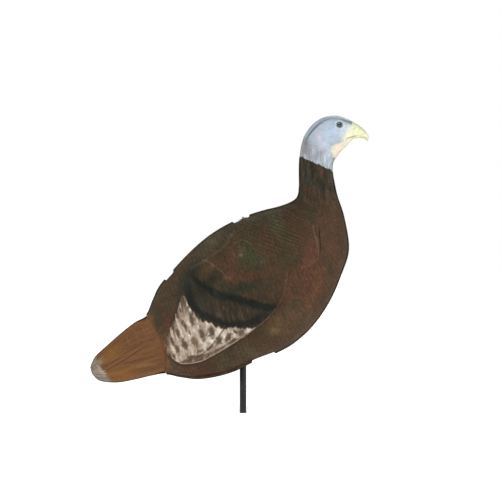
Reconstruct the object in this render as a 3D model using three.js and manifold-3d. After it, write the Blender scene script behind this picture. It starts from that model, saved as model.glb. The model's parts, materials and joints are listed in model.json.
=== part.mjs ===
// Hen turkey decoy on a two-piece ground stake.
//
// The bird is a hollow skin of moulded foam: a left and a right half of the body, of the head and of the tail,
// bonded edge to edge along a low seam flange. The belly is left open as a slot, so that the stake can come up
// inside. Its pivot pin passes a nylon block under the back and shows through an eyelet, and the bird turns on
// it in the wind. The stake is two steel tubes joined by a spigot, with a point for the ground.
//
// Units are millimetres. +X is the way the bird faces, +Z is up and +Y is the bird's left side. The origin is
// on the stake's axis at the ground.
import * as THREE from "three";
import { mergeVertices } from "three/addons/utils/BufferGeometryUtils.js";
import Module from "manifold-3d";

const wasm = await Module();
wasm.setup();

// ---------------------------------------------------------------- driving dimensions

const SKIN = 4; // thickness of the foam
const SEAM_GAP = 0.15; // from the middle plane to each half's bonded face
const FLANGE_HEIGHT = 4; // the seam flange, beyond the skin
const FLANGE_THICKNESS = 2.5; // of each half's flange
const NOTCH_FLANGE = 0.05; // what is left of the flange in a notch
const SLOT_HALF_WIDTH = 30; // half of the belly slot
const JOINT_GAP = 0.4; // between butted or nested pieces
const TAIL_INSET = 2.5; // the tail's edge steps in from the body's

const STAKE_RADIUS = 6.35; // half-inch tube
const TUBE_WALL = 1;
const STAKE_JOINT_Z = 105; // where the two tubes meet, inside the body
const STAKE_TOP_Z = 333;
const STAKE_TIP_Z = -150;
const POINT_LENGTH = 32;
const SPIGOT_REACH = 45; // into each tube
const FIT_CLEARANCE = 0.2; // radial, for a shank or a spigot in a tube

const PIN_RADIUS = 2.25;
const PIN_CLEARANCE = 0.35; // radial, for the bores that turn on the pin
const WASHER_THICKNESS = 1.8;
const CAP_HEAD = 5.4; // height of the stake cap's head
const FACE_GAP = 0.3; // between the faces of the cap, washer and block
const ROUND = 24; // sides of a turned piece

const EYE_RADIUS = 6;
const EYE_AT = { x: 183, z: 547 };

// ---------------------------------------------------------------- the bird's outline

// Each station is a flat section across the bird: where it meets the outline on the back and on the belly
// (x, z), its half width, and its fullness, which is under 1 for a blunt egg and over 1 for a section that is
// sharp at the seam. They run from the tip of the tail to the tip of the beak.
const STATIONS = [
  { back: [-291, 89], belly: [-287, 73], half: 6, full: 1.1 }, // 0, tip of the tail
  { back: [-282, 109], belly: [-272, 59], half: 15, full: 1.15 },
  { back: [-259, 131], belly: [-240, 55.5], half: 23, full: 1.15 },
  { back: [-233, 154], belly: [-206, 61], half: 29, full: 1.1 },
  { back: [-206, 175], belly: [-174, 68.5], half: 35, full: 1.05 },
  { back: [-184, 188], belly: [-145, 73], half: 43, full: 0.98 }, // 5, where the tail meets the body
  { back: [-172, 215], belly: [-119, 68], half: 57, full: 0.92 },
  { back: [-159, 242], belly: [-88, 65], half: 69, full: 0.88 },
  { back: [-134, 271], belly: [-54, 69], half: 79, full: 0.86 },
  { back: [-103, 304], belly: [-18, 79], half: 87, full: 0.85 },
  { back: [-69, 334], belly: [22, 98], half: 92, full: 0.85 }, // 10
  { back: [-35, 356], belly: [62, 113], half: 94, full: 0.85 },
  { back: [1, 373], belly: [99, 134], half: 94, full: 0.86 },
  { back: [37, 385], belly: [135, 168], half: 90, full: 0.87 },
  { back: [69, 393], belly: [166, 214], half: 82, full: 0.88 },
  { back: [92, 402], belly: [188, 265], half: 68, full: 0.9 }, // 15, shoulders
  { back: [103, 412], belly: [201.5, 312], half: 52, full: 0.92 },
  { back: [106, 430], belly: [193, 371], half: 39, full: 0.95 },
  { back: [106, 450], belly: [180, 412], half: 31, full: 1 },
  { back: [106, 469], belly: [174, 439], half: 27, full: 1 },
  { back: [107, 487], belly: [171, 458], half: 25, full: 1 }, // 20, where the neck meets the head
  { back: [110, 508], belly: [172, 474], half: 23.5, full: 1 },
  { back: [117, 529], belly: [178, 485], half: 22.5, full: 0.95 },
  { back: [132, 549], belly: [187, 497], half: 22, full: 0.9 },
  { back: [152, 562], belly: [196, 506], half: 21.5, full: 0.88 },
  { back: [175, 566], belly: [202, 513], half: 20, full: 0.88 }, // 25
  { back: [194, 561.5], belly: [208, 519], half: 16, full: 0.9 },
  { back: [207, 555], belly: [214, 521], half: 11.5, full: 0.95 }, // base of the beak
  { back: [220, 547.5], belly: [222, 522], half: 8.5, full: 0.95 },
  { back: [232, 537.5], belly: [231, 520], half: 5.5, full: 0.95 },
  { back: [240, 526], belly: [237, 516], half: 2.5, full: 1 }, // 30, tip of the beak
];
const TAIL_TIP = 0;
const TAIL_JOINT = 5;
const NECK_JOINT = 20;
const BEAK_TIP = 30;
const RUMP_BULGE = 0.5; // how far the tail's root runs into the body at mid height, in stations

// Stations between which the seam flange is missing, on the back and on the belly.
const BACK_NOTCHES = [
  [7.5, 8],
  [11.47, 12.25],
];
const BELLY_NOTCHES = [[9.93, 10.95]];
const NOTCH_RAMP = 0.05;
// The belly slot: it starts to open, is fully open, starts to close and is closed at these stations.
const SLOT = [6.1, 7.1, 9.7, 10.7];

// Where the sections of the grid lie round a half, from the back (0) to the belly (pi).
const FLANGE_ANGLE = 0.04;
const SIDE_STRIPS = 9;

// ---------------------------------------------------------------- curves and surfaces

const clamp = THREE.MathUtils.clamp;
const ramp = (value, from, to) => THREE.MathUtils.smoothstep(value, from, to);
const mix = THREE.MathUtils.lerp;

// A smooth curve through the values that `read` takes from the stations.
function along(u, read) {
  const i = clamp(Math.floor(u), 0, STATIONS.length - 2);
  const f = u - i;
  const [a, b, c, d] = [i - 1, i, i + 1, i + 2].map((k) =>
    read(STATIONS[clamp(k, 0, STATIONS.length - 1)]),
  );
  return (
    b +
    0.5 * f * (c - a + f * (2 * a - 5 * b + 4 * c - d + f * (3 * (b - c) + d - a)))
  );
}

// Depth of the skin below the outline, which is the flange's edge.
function skinDepth(u) {
  const tail = mix(1.5, FLANGE_HEIGHT, ramp(u, 4, TAIL_JOINT));
  const neck = mix(0, FLANGE_HEIGHT - 2, ramp(u, 18, NECK_JOINT));
  return tail - neck;
}

const inNotch = (u, notches) =>
  notches.reduce(
    (most, [from, to]) =>
      Math.max(
        most,
        clamp((u - from + NOTCH_RAMP) / NOTCH_RAMP, 0, 1) *
          clamp((to + NOTCH_RAMP - u) / NOTCH_RAMP, 0, 1),
      ),
    0,
  );

const slotHalfWidth = (u) =>
  SLOT_HALF_WIDTH * ramp(u, SLOT[0], SLOT[1]) * (1 - ramp(u, SLOT[2], SLOT[3]));

// A point of the left half: u is the station, angle runs from the back to the belly, and inset is how far
// inside the skin's outer face it lies. flange, from 0 to 1, lifts it to the edge of the seam flange.
function skinPoint(u, angle, inset = 0, flange = 0, outward = 0) {
  const back = new THREE.Vector2(
    along(u, (s) => s.back[0]),
    along(u, (s) => s.back[1]),
  );
  const belly = new THREE.Vector2(
    along(u, (s) => s.belly[0]),
    along(u, (s) => s.belly[1]),
  );
  const half = along(u, (s) => s.half);
  const full = along(u, (s) => s.full);
  const middle = back.clone().add(belly).multiplyScalar(0.5);
  const up = back.clone().sub(belly).multiplyScalar(0.5);
  const height = up.length();
  const notches = angle < Math.PI / 2 ? BACK_NOTCHES : BELLY_NOTCHES;
  const edge = mix(skinDepth(u), NOTCH_FLANGE, inNotch(u, notches)) * flange;
  const reach = Math.max(height - skinDepth(u) - inset, 0.2 * height) + edge;
  const at = middle.addScaledVector(up, (reach / height) * Math.cos(angle));
  const width = Math.max(half - inset, 0.2 * half);
  const round = width * Math.max(Math.sin(angle), 0) ** full;
  const slot = slotHalfWidth(u) * ((1 - Math.cos(angle)) / 2) ** 3;
  const side = Math.cbrt(round ** 3 + slot ** 3);
  return new THREE.Vector3(at.x, SEAM_GAP + Math.max(side, outward), at.y);
}

// ---------------------------------------------------------------- solids

// A closed mesh from triangles of points, with the triangles that have collapsed left out.
function closedGeometry(triangles) {
  const index = new Map();
  const positions = [];
  const numberOf = (p) => {
    const key = [p.x, p.y, p.z].map((v) => Math.round(v * 1000)).join();
    if (!index.has(key)) {
      index.set(key, positions.length / 3);
      positions.push(p.x, p.y, p.z);
    }
    return index.get(key);
  };
  const faces = [];
  for (const triangle of triangles) {
    const [a, b, c] = triangle.map(numberOf);
    if (a !== b && b !== c && c !== a) faces.push(a, b, c);
  }
  const geometry = new THREE.BufferGeometry();
  geometry.setAttribute("position", new THREE.Float32BufferAttribute(positions, 3));
  geometry.setIndex(faces);
  return geometry;
}

// The wall between an outer and an inner grid of points, closed along all four edges.
function wall(outer, inner) {
  const rows = outer.length - 1;
  const strips = outer[0].length - 1;
  const triangles = [];
  const quad = (a, b, c, d) => triangles.push([a, b, c], [a, c, d]);
  for (let i = 0; i < rows; i++) {
    for (let j = 0; j < strips; j++) {
      quad(outer[i][j], outer[i + 1][j], outer[i + 1][j + 1], outer[i][j + 1]);
      quad(inner[i][j], inner[i][j + 1], inner[i + 1][j + 1], inner[i + 1][j]);
    }
    quad(outer[i + 1][0], outer[i][0], inner[i][0], inner[i + 1][0]);
    quad(outer[i][strips], outer[i + 1][strips], inner[i + 1][strips], inner[i][strips]);
  }
  for (let j = 0; j < strips; j++) {
    quad(outer[0][j], outer[0][j + 1], inner[0][j + 1], inner[0][j]);
    quad(outer[rows][j + 1], outer[rows][j], inner[rows][j], inner[rows][j + 1]);
  }
  return closedGeometry(triangles);
}

// The same geometry on the other side of the middle plane.
function mirrored(geometry) {
  const copy = geometry.clone().scale(1, -1, 1);
  const faces = copy.index.array;
  for (let i = 0; i < faces.length; i += 3) {
    [faces[i + 1], faces[i + 2]] = [faces[i + 2], faces[i + 1]];
  }
  return copy;
}

// Rows across a half: the flange's edge, its outer corner, its root, the side, and the same at the belly.
const sideAngles = Array.from(
  { length: SIDE_STRIPS + 1 },
  (_, k) => mix(FLANGE_ANGLE, Math.PI - FLANGE_ANGLE, k / SIDE_STRIPS),
);
const ROWS = [
  { angle: 0, flange: 1, outward: 0 },
  { angle: 0, flange: 1, outward: FLANGE_THICKNESS },
  ...sideAngles.map((angle) => ({ angle, flange: 0, outward: FLANGE_THICKNESS })),
  { angle: Math.PI, flange: 1, outward: FLANGE_THICKNESS },
  { angle: Math.PI, flange: 1, outward: 0 },
];

// A flange corner in the slot stands out from the slot's edge, not from the middle plane.
const outwardAt = (u, row) =>
  row.outward + (row.angle > 3 ? slotHalfWidth(u) : 0) * (row.outward ? 1 : 0);

// The middle of a section, on the left half's bonded face.
function seamPoint(u) {
  const point = skinPoint(u, Math.PI / 2);
  point.y = SEAM_GAP;
  return point;
}
const CLOSED_WALL = 0.35; // in stations, how thick the skin is at a closed end

// Half of a stretch of the bird. stations are the grid lines, startOf and endOf say where each row starts and
// ends, inset sinks the outer face, and a closed end comes together in a point at the seam.
function halfSkin({ stations, startOf, endOf, inset = 0, closedStart, closedEnd }) {
  const [first, last] = [stations[0], stations[stations.length - 1]];
  const placed = (u, row) =>
    mix(startOf(row.angle), endOf(row.angle), (u - first) / (last - first));
  const outer = stations.map((u) =>
    ROWS.map((row) => {
      const at = placed(u, row);
      return skinPoint(at, row.angle, inset, row.flange, outwardAt(at, row));
    }),
  );
  const inner = stations.map((u) =>
    ROWS.map((row, k) => {
      const shifted = row.flange * FLANGE_ANGLE * (row.outward ? 0.5 : 0);
      const angle = k < ROWS.length / 2 ? row.angle + shifted : row.angle - shifted;
      return skinPoint(placed(u, row), angle, inset + SKIN);
    }),
  );
  if (closedStart) {
    outer[0].fill(seamPoint(first));
    inner[0].fill(seamPoint(first + CLOSED_WALL));
  }
  if (closedEnd) {
    outer[outer.length - 1].fill(seamPoint(last));
    inner[inner.length - 1].fill(seamPoint(last - CLOSED_WALL));
  }
  return wall(outer, inner);
}

// A closed plug that fits inside the skin between two stations, as a whole piece across the middle plane.
function plug(from, to, clearance) {
  const lines = 5;
  const angles = Array.from({ length: 9 }, (_, k) => (k * Math.PI) / 8);
  const ring = (u) => {
    const left = angles.map((angle) => skinPoint(u, angle, SKIN + clearance));
    left.forEach((p) => (p.y -= SEAM_GAP));
    const right = left.slice(1, -1).reverse();
    return [...left, ...right.map((p) => new THREE.Vector3(p.x, -p.y, p.z))];
  };
  const rings = Array.from({ length: lines }, (_, k) =>
    ring(mix(from, to, k / (lines - 1))),
  );
  const triangles = [];
  for (let i = 0; i < lines - 1; i++) {
    rings[i].forEach((p, j) => {
      const k = (j + 1) % rings[i].length;
      triangles.push([p, rings[i + 1][j], rings[i + 1][k]], [p, rings[i + 1][k], rings[i][k]]);
    });
  }
  const cap = (points, flip) => {
    for (let k = 1; k < points.length - 1; k++) {
      const pair = flip ? [points[k + 1], points[k]] : [points[k], points[k + 1]];
      triangles.push([points[0], ...pair]);
    }
  };
  cap(rings[0], false);
  cap(rings[lines - 1], true);
  return closedGeometry(triangles);
}

// A turned piece about the stake's axis: profile is a closed list of [radius, z] points, anticlockwise.
function turned(profile) {
  const points = [...profile, profile[0]].map(([r, z]) => new THREE.Vector2(r, z));
  return new THREE.LatheGeometry(points, ROUND).rotateX(Math.PI / 2);
}

// A rod or tube between two heights, with an optional bore.
const tube = (radius, bore, low, high) =>
  turned(
    [
      [bore, low],
      [radius, low],
      [radius, high],
      [bore, high],
    ],
  );

// A geometry as a manifold-3d solid, and back.
function solid(geometry) {
  const plain = geometry.clone();
  plain.deleteAttribute("normal");
  plain.deleteAttribute("uv");
  const merged = mergeVertices(plain, 1e-3);
  return new wasm.Manifold(
    new wasm.Mesh({
      numProp: 3,
      vertProperties: merged.attributes.position.array,
      triVerts: new Uint32Array(merged.index.array),
    }),
  );
}

function geometryOf(made) {
  const mesh = made.getMesh();
  const geometry = new THREE.BufferGeometry();
  geometry.setAttribute("position", new THREE.BufferAttribute(mesh.vertProperties, 3));
  geometry.setIndex(new THREE.BufferAttribute(mesh.triVerts, 1));
  return geometry;
}

const cut = (geometry, ...tools) =>
  geometryOf(tools.reduce((made, tool) => made.subtract(solid(tool)), solid(geometry)));

// ---------------------------------------------------------------- materials

const painted = (name, color, roughness, metalness = 0) =>
  new THREE.MeshStandardMaterial({ name, color, roughness, metalness });

const bodyFoam = painted("body_foam", 0x4a3c2e, 0.9);
const headFoam = painted("head_foam", 0xb4c0cc, 0.8);
const tailFoam = painted("tail_foam", 0x74502f, 0.9);
const coreFoam = painted("core_foam", 0x2b2a28, 0.95);
const eyePlastic = painted("eye_plastic", 0x10181c, 0.12);
const stakePaint = painted("stake_paint", 0x25272a, 0.38, 0.2);
const bareSteel = painted("bare_steel", 0x9a9c9e, 0.3, 1);
const nylon = painted("nylon", 0x1c1d1e, 0.5);
const eyeletBrass = painted("eyelet_brass", 0x5b4a2c, 0.4, 1);

// ---------------------------------------------------------------- the foam bird

const bird = new THREE.Group();

function add(name, geometry, material) {
  const mesh = new THREE.Mesh(geometry, material);
  mesh.name = name;
  bird.add(mesh);
}

function addPair(name, leftGeometry, material) {
  add(`${name}_left`, leftGeometry, material);
  add(`${name}_right`, mirrored(leftGeometry), material);
}

const tailJoint = (angle) => TAIL_JOINT + RUMP_BULGE * Math.sin(angle) ** 2;
const stationsBetween = (from, to, step) =>
  Array.from({ length: Math.round((to - from) / step) + 1 }, (_, k) => from + k * step);

// Grid lines of the body, with a close pair at each end of each flange notch.
function bodyStations() {
  const even = stationsBetween(TAIL_JOINT, NECK_JOINT, 0.5);
  const ends = [...BACK_NOTCHES, ...BELLY_NOTCHES].flatMap(([from, to]) => [
    from - NOTCH_RAMP,
    from,
    to,
    to + NOTCH_RAMP,
  ]);
  return [...new Set([...even, ...ends])].sort((a, b) => a - b);
}

// Where the pivot pin meets the back: the station whose outer skin crosses the stake's axis, and its slope.
function pivotSeat() {
  let [low, high] = [8, 16];
  while (high - low > 1e-4) {
    const u = (low + high) / 2;
    if (skinPoint(u, 0).x < 0) low = u;
    else high = u;
  }
  const [behind, ahead] = [skinPoint(low - 0.2, 0), skinPoint(low + 0.2, 0)];
  return {
    z: skinPoint(low, 0).z,
    slope: Math.atan2(ahead.z - behind.z, ahead.x - behind.x),
  };
}
const seat = pivotSeat();
const EYELET_BARREL = 5.8; // outer radius
const EYELET_BORE = 5;
const EYELET_FLANGE = 8.5;
const EYELET_DEPTH = 5.6;
const BLOCK_RADIUS = 10;
const BLOCK_DROP = 2.6; // of its top below the skin, which curves down round it

// Turns a piece made about Z to the slope of the back, at the pin.
const seated = (geometry, z = seat.z) => geometry.rotateY(-seat.slope).translate(0, 0, z);

const bodyHalf = halfSkin({
  stations: bodyStations(),
  startOf: tailJoint,
  endOf: () => NECK_JOINT,
});
const eyeletHole = seated(tube(EYELET_BARREL + JOINT_GAP, 0, -2 * SKIN, 2 * SKIN));
addPair("shell", cut(bodyHalf, eyeletHole), bodyFoam);

const gapInStations = JOINT_GAP / 30; // a station is about 30 mm long at the tail and 20 at the neck
addPair(
  "tail",
  halfSkin({
    stations: stationsBetween(TAIL_TIP, TAIL_JOINT, 0.5),
    startOf: () => TAIL_TIP,
    endOf: (angle) => tailJoint(angle) - gapInStations,
    inset: TAIL_INSET,
    closedStart: true,
  }),
  tailFoam,
);

// A cylinder along Y through the bird's left side at the eye.
const throughEye = (radius, from, to) =>
  new THREE.CylinderGeometry(radius, radius, to - from, ROUND).translate(
    EYE_AT.x,
    (from + to) / 2,
    EYE_AT.z,
  );
const EYE_SEAT_Y = 9;
const EYE_RIM_Y = 19.5;
const EYE_DOME = 2.6;
const headHalf = halfSkin({
  stations: stationsBetween(NECK_JOINT, BEAK_TIP, 0.5),
  startOf: () => NECK_JOINT + 1.5 * gapInStations,
  endOf: () => BEAK_TIP,
  inset: 0.5,
  closedEnd: true,
});
addPair("head", cut(headHalf, throughEye(EYE_RADIUS + JOINT_GAP, 5, 40)), headFoam);

// A glass-like eye: a shank in the head's skin with a domed face.
function eye() {
  const dome = Array.from({ length: 6 }, (_, k) => {
    const turn = (k / 5) * (Math.PI / 2);
    return new THREE.Vector2(
      k === 5 ? 0 : EYE_RADIUS * Math.cos(turn),
      EYE_RIM_Y + EYE_DOME * Math.sin(turn),
    );
  });
  const profile = [
    new THREE.Vector2(0, EYE_SEAT_Y),
    new THREE.Vector2(EYE_RADIUS, EYE_SEAT_Y),
    ...dome,
  ];
  return mergeVertices(
    new THREE.LatheGeometry(profile, ROUND).translate(EYE_AT.x, 0, EYE_AT.z),
  );
}
addPair("eye", eye(), eyePlastic);

add("neck_core", plug(NECK_JOINT - 1.2, NECK_JOINT + 1.2, JOINT_GAP + 0.6), coreFoam);
add("tail_core", plug(TAIL_JOINT - 0.6, TAIL_JOINT + 1, JOINT_GAP + TAIL_INSET + 0.8), coreFoam);

// ---------------------------------------------------------------- the pivot

const capTop = STAKE_TOP_Z + FACE_GAP + CAP_HEAD;
const washerTop = capTop + FACE_GAP + WASHER_THICKNESS;
const blockFoot = washerTop + FACE_GAP;
const PIN_FOOT_Z = STAKE_TOP_Z - 13;
const PIN_STANDS_OUT = 4.5; // above the skin
const pinTop = seat.z + PIN_STANDS_OUT;
const boreRadius = PIN_RADIUS + PIN_CLEARANCE;

// The block under the back: its foot turns on the washer, and its top is cut to the slope of the back.
const roof = new THREE.BoxGeometry(80, 80, 40).translate(0, 0, 20 - SKIN - BLOCK_DROP);
add(
  "pivot_block",
  cut(
    tube(BLOCK_RADIUS, 0, blockFoot, seat.z + BLOCK_RADIUS),
    seated(roof),
    seated(tube(EYELET_BARREL + JOINT_GAP, 0, -EYELET_DEPTH - JOINT_GAP, SKIN)),
    tube(boreRadius, 0, blockFoot - 5, seat.z + 20),
  ),
  nylon,
);

add(
  "back_eyelet",
  seated(
    turned([
      [EYELET_BORE, -EYELET_DEPTH],
      [EYELET_BARREL, -EYELET_DEPTH],
      [EYELET_BARREL, JOINT_GAP],
      [EYELET_FLANGE, JOINT_GAP],
      [EYELET_FLANGE - 0.4, JOINT_GAP + 0.9],
      [EYELET_BORE, JOINT_GAP + 0.9],
    ]),
  ),
  eyeletBrass,
);

add(
  "thrust_washer",
  tube(BLOCK_RADIUS - 1, boreRadius, capTop + FACE_GAP, washerTop),
  nylon,
);

add(
  "pivot_pin",
  turned([
    [0, PIN_FOOT_Z],
    [PIN_RADIUS, PIN_FOOT_Z],
    [PIN_RADIUS, pinTop - 1.2],
    [PIN_RADIUS - 0.6, pinTop - 0.3],
    [PIN_RADIUS - 1.2, pinTop],
    [0, pinTop],
  ]),
  bareSteel,
);

// ---------------------------------------------------------------- the stake

const bore = STAKE_RADIUS - TUBE_WALL;
const shank = bore - FIT_CLEARANCE;
const pinSeat = PIN_RADIUS + 0.1;
const RIVET_Z = 92;
const RIVET_RADIUS = 1.5;

add(
  "stake_cap",
  turned([
    [0, PIN_FOOT_Z - 5],
    [shank, PIN_FOOT_Z - 5],
    [shank, STAKE_TOP_Z + FACE_GAP],
    [STAKE_RADIUS + 1.2, STAKE_TOP_Z + FACE_GAP],
    [STAKE_RADIUS + 1.2, capTop - 1],
    [STAKE_RADIUS + 0.2, capTop],
    [pinSeat, capTop],
    [pinSeat, PIN_FOOT_Z - 0.2],
    [0, PIN_FOOT_Z - 0.2],
  ]),
  nylon,
);

add(
  "stake_upper_tube",
  tube(STAKE_RADIUS, bore, STAKE_JOINT_Z + FACE_GAP, STAKE_TOP_Z),
  stakePaint,
);

// A cylinder across the stake, for the rivet and its hole.
const across = (radius, length) =>
  new THREE.CylinderGeometry(radius, radius, length, ROUND / 2).translate(0, 0, RIVET_Z);

const pointBase = STAKE_TIP_Z + POINT_LENGTH;
add(
  "stake_lower_tube",
  cut(
    tube(STAKE_RADIUS, bore, pointBase + FACE_GAP, STAKE_JOINT_Z),
    across(RIVET_RADIUS + FIT_CLEARANCE, 4 * STAKE_RADIUS),
  ),
  stakePaint,
);

add(
  "stake_spigot",
  cut(
    turned([
      [0, STAKE_JOINT_Z - SPIGOT_REACH],
      [shank, STAKE_JOINT_Z - SPIGOT_REACH],
      [shank, STAKE_JOINT_Z + SPIGOT_REACH - 2],
      [shank - 1.5, STAKE_JOINT_Z + SPIGOT_REACH],
      [0, STAKE_JOINT_Z + SPIGOT_REACH],
    ]),
    across(RIVET_RADIUS + FIT_CLEARANCE, 4 * STAKE_RADIUS),
  ),
  bareSteel,
);

add("spigot_rivet", across(RIVET_RADIUS, 2 * STAKE_RADIUS), bareSteel);

add(
  "stake_point",
  turned([
    [0, STAKE_TIP_Z],
    [0.8, STAKE_TIP_Z],
    [STAKE_RADIUS, pointBase],
    [shank, pointBase],
    [shank, pointBase + 20],
    [0, pointBase + 20],
  ]),
  bareSteel,
);

export default bird;
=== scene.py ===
import json
import math

import bmesh
import bpy
import numpy as np
from mathutils import Matrix, Vector


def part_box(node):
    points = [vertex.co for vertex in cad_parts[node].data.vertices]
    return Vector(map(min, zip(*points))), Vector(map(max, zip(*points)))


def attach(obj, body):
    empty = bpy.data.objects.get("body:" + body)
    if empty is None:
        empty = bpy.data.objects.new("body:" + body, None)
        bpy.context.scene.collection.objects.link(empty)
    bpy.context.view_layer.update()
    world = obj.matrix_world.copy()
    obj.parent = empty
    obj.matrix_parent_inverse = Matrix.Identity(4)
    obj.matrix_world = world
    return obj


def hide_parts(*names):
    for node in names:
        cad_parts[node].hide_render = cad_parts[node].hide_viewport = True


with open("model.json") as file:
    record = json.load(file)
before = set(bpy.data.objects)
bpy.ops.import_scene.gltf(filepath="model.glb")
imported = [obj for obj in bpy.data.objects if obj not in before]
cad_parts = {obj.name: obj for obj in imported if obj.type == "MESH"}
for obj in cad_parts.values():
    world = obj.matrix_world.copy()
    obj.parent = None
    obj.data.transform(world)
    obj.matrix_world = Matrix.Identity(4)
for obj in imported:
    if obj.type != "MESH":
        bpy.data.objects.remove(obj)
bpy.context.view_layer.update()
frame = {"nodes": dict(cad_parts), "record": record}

MM = 0.001

# ---- the bird's outline

# Flat sections across the bird, from the tip of the tail to the tip of the beak: where each meets the
# outline on the back and on the belly (x, z), its half width, and its fullness.
STATIONS = np.array([
    [-291, 89, -287, 73, 6, 1.1],
    [-282, 109, -272, 59, 15, 1.15],
    [-259, 131, -240, 55.5, 23, 1.15],
    [-233, 154, -206, 61, 29, 1.1],
    [-206, 175, -174, 68.5, 35, 1.05],
    [-184, 188, -145, 73, 43, 0.98],
    [-172, 215, -119, 68, 57, 0.92],
    [-159, 242, -88, 65, 69, 0.88],
    [-134, 271, -54, 69, 79, 0.86],
    [-103, 304, -18, 79, 87, 0.85],
    [-69, 334, 22, 98, 92, 0.85],
    [-35, 356, 62, 113, 94, 0.85],
    [1, 373, 99, 134, 94, 0.86],
    [37, 385, 135, 168, 90, 0.87],
    [69, 393, 166, 214, 82, 0.88],
    [92, 402, 188, 265, 68, 0.9],
    [103, 412, 201.5, 312, 52, 0.92],
    [106, 430, 193, 371, 39, 0.95],
    [106, 450, 180, 412, 31, 1],
    [106, 469, 174, 439, 27, 1],
    [107, 487, 171, 458, 25, 1],
    [110, 508, 172, 474, 23.5, 1],
    [117, 529, 178, 485, 22.5, 0.95],
    [132, 549, 187, 497, 22, 0.9],
    [152, 562, 196, 506, 21.5, 0.88],
    [175, 566, 202, 513, 20, 0.88],
    [194, 561.5, 208, 519, 16, 0.9],
    [207, 555, 214, 521, 11.5, 0.95],
    [220, 547.5, 222, 522, 8.5, 0.95],
    [232, 537.5, 231, 520, 5.5, 0.95],
    [240, 526, 237, 516, 2.5, 1],
])
BACK_X, BACK_Z, BELLY_X, BELLY_Z, HALF, FULL = range(6)
TAIL_JOINT, NECK_JOINT, BEAK_TIP = 5, 20, 30

HALVES = (("left", 1), ("right", -1))

SKIN = 4 # thickness of the foam
SEAM_GAP = 0.002 # from the middle plane to a half's bonded face
SEAM_LAP = 0.02 # the inner edges cross the middle plane by this, so that no light passes
FLANGE_THICKNESS = 2.5 # of one half
BODY_FLANGE, TAIL_FLANGE, HEAD_FLANGE = 4, 1.5, 2 # how far the seam's flange stands above the skin
NOTCH_FLANGE = 0.05 # how far it stands in a notch
NOTCH_RAMP = 0.05 # length of a notch's ends, in stations
BACK_NOTCHES = [(7.5, 8), (11.47, 12.25)] # first and last station
BELLY_NOTCHES = [(9.93, 10.95)]
SLOT = (6.1, 7.1, 9.7, 10.7) # stations where the belly's opening starts, is full, starts to close and ends
SLOT_HALF_WIDTH = 30
RUMP_BULGE = 0.5 # how far the tail runs on under the body's side, in stations
LEAST = 0.2 # an inner face keeps this share of its section


def smooth(value, low, high):
    """0 below low, 1 above high, and a soft ramp between."""
    t = np.clip((value - low) / (high - low), 0, 1)
    return t * t * (3 - 2 * t)


def between(a, b, c, d, f):
    """The place at the share f of the way from b to c, on a smooth curve through a, b, c and d."""
    return b + 0.5 * f * (c - a + f * (2 * a - 5 * b + 4 * c - d + f * (3 * (b - c) + d - a)))


def along(u, column):
    """A smooth curve through one column of the stations."""
    last = len(STATIONS) - 1
    i = np.clip(np.floor(u).astype(int), 0, last - 1)
    return between(*(STATIONS[np.clip(i + k, 0, last), column] for k in (-1, 0, 1, 2)), u - i)


def skin_depth(u):
    """How far the skin lies below the outline, which is the flange's edge."""
    body = TAIL_FLANGE + (BODY_FLANGE - TAIL_FLANGE) * smooth(u, TAIL_JOINT - 1, TAIL_JOINT)
    return body + (HEAD_FLANGE - BODY_FLANGE) * smooth(u, NECK_JOINT - 2, NECK_JOINT)


def in_notch(u, notches):
    """1 in a notch of the flange and 0 away from it."""
    most = np.zeros_like(u)
    for start, end in notches:
        inside = np.clip((u - start) / NOTCH_RAMP + 1, 0, 1) * np.clip((end - u) / NOTCH_RAMP + 1, 0, 1)
        most = np.maximum(most, inside)
    return most


def slot_half_width(u):
    return SLOT_HALF_WIDTH * smooth(u, *SLOT[:2]) * (1 - smooth(u, *SLOT[2:]))


def skin_points(u, angle, inset=0.0, flange=0.0, outward=0.0):
    """Points of the left half. angle runs from the back (0) to the belly (pi).

    inset is a depth below the skin, flange a share of the flange's height, and outward the least distance
    from the middle plane.
    """
    back = np.stack([along(u, BACK_X), along(u, BACK_Z)], -1)
    belly = np.stack([along(u, BELLY_X), along(u, BELLY_Z)], -1)
    half, full = along(u, HALF), along(u, FULL)
    up = (back - belly) / 2
    height = np.hypot(up[..., 0], up[..., 1])
    notch = np.where(angle < math.pi / 2, in_notch(u, BACK_NOTCHES), in_notch(u, BELLY_NOTCHES))
    depth = skin_depth(u)
    edge = (depth + (NOTCH_FLANGE - depth) * notch) * flange
    tall = np.maximum(height - depth - inset, LEAST * height) + edge
    at = (back + belly) / 2 + up * (tall / height * np.cos(angle))[..., None]
    width = np.maximum(half - inset, LEAST * half)
    round_side = width * np.maximum(np.sin(angle), 0) ** full
    slot = slot_half_width(u) * ((1 - np.cos(angle)) / 2) ** 3
    side = np.cbrt(round_side ** 3 + slot ** 3)
    return np.stack([at[..., 0], SEAM_GAP + np.maximum(side, outward), at[..., 1]], -1)


# ---- noise, curves and masks


def noise(points, size, seed):
    """Smooth noise from -1 to 1, with features about size across."""
    rng = np.random.default_rng(seed)
    order, level = rng.permutation(256), rng.uniform(-1, 1, 256)
    cell = np.floor(points / size).astype(int)
    f = points / size - cell
    f = f * f * (3 - 2 * f)
    total = np.zeros(points.shape[:-1])
    for corner in np.ndindex(2, 2, 2):
        index = np.zeros(points.shape[:-1], int)
        weight = np.ones(points.shape[:-1])
        for axis, step in enumerate(corner):
            index = order[(index + cell[..., axis] + step) & 255]
            weight = weight * (f[..., axis] if step else 1 - f[..., axis])
        total += level[index] * weight
    return total


def fractal(points, size, seed):
    return sum(noise(points, size / 2 ** k, seed + k) / 2 ** k for k in range(3)) / 1.4


def streaks(a, b, size, seed):
    """Noise over two coordinates, scaled by the caller to draw it out into streaks."""
    return noise(np.stack([a, b, 0 * a], -1), size, seed)


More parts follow.
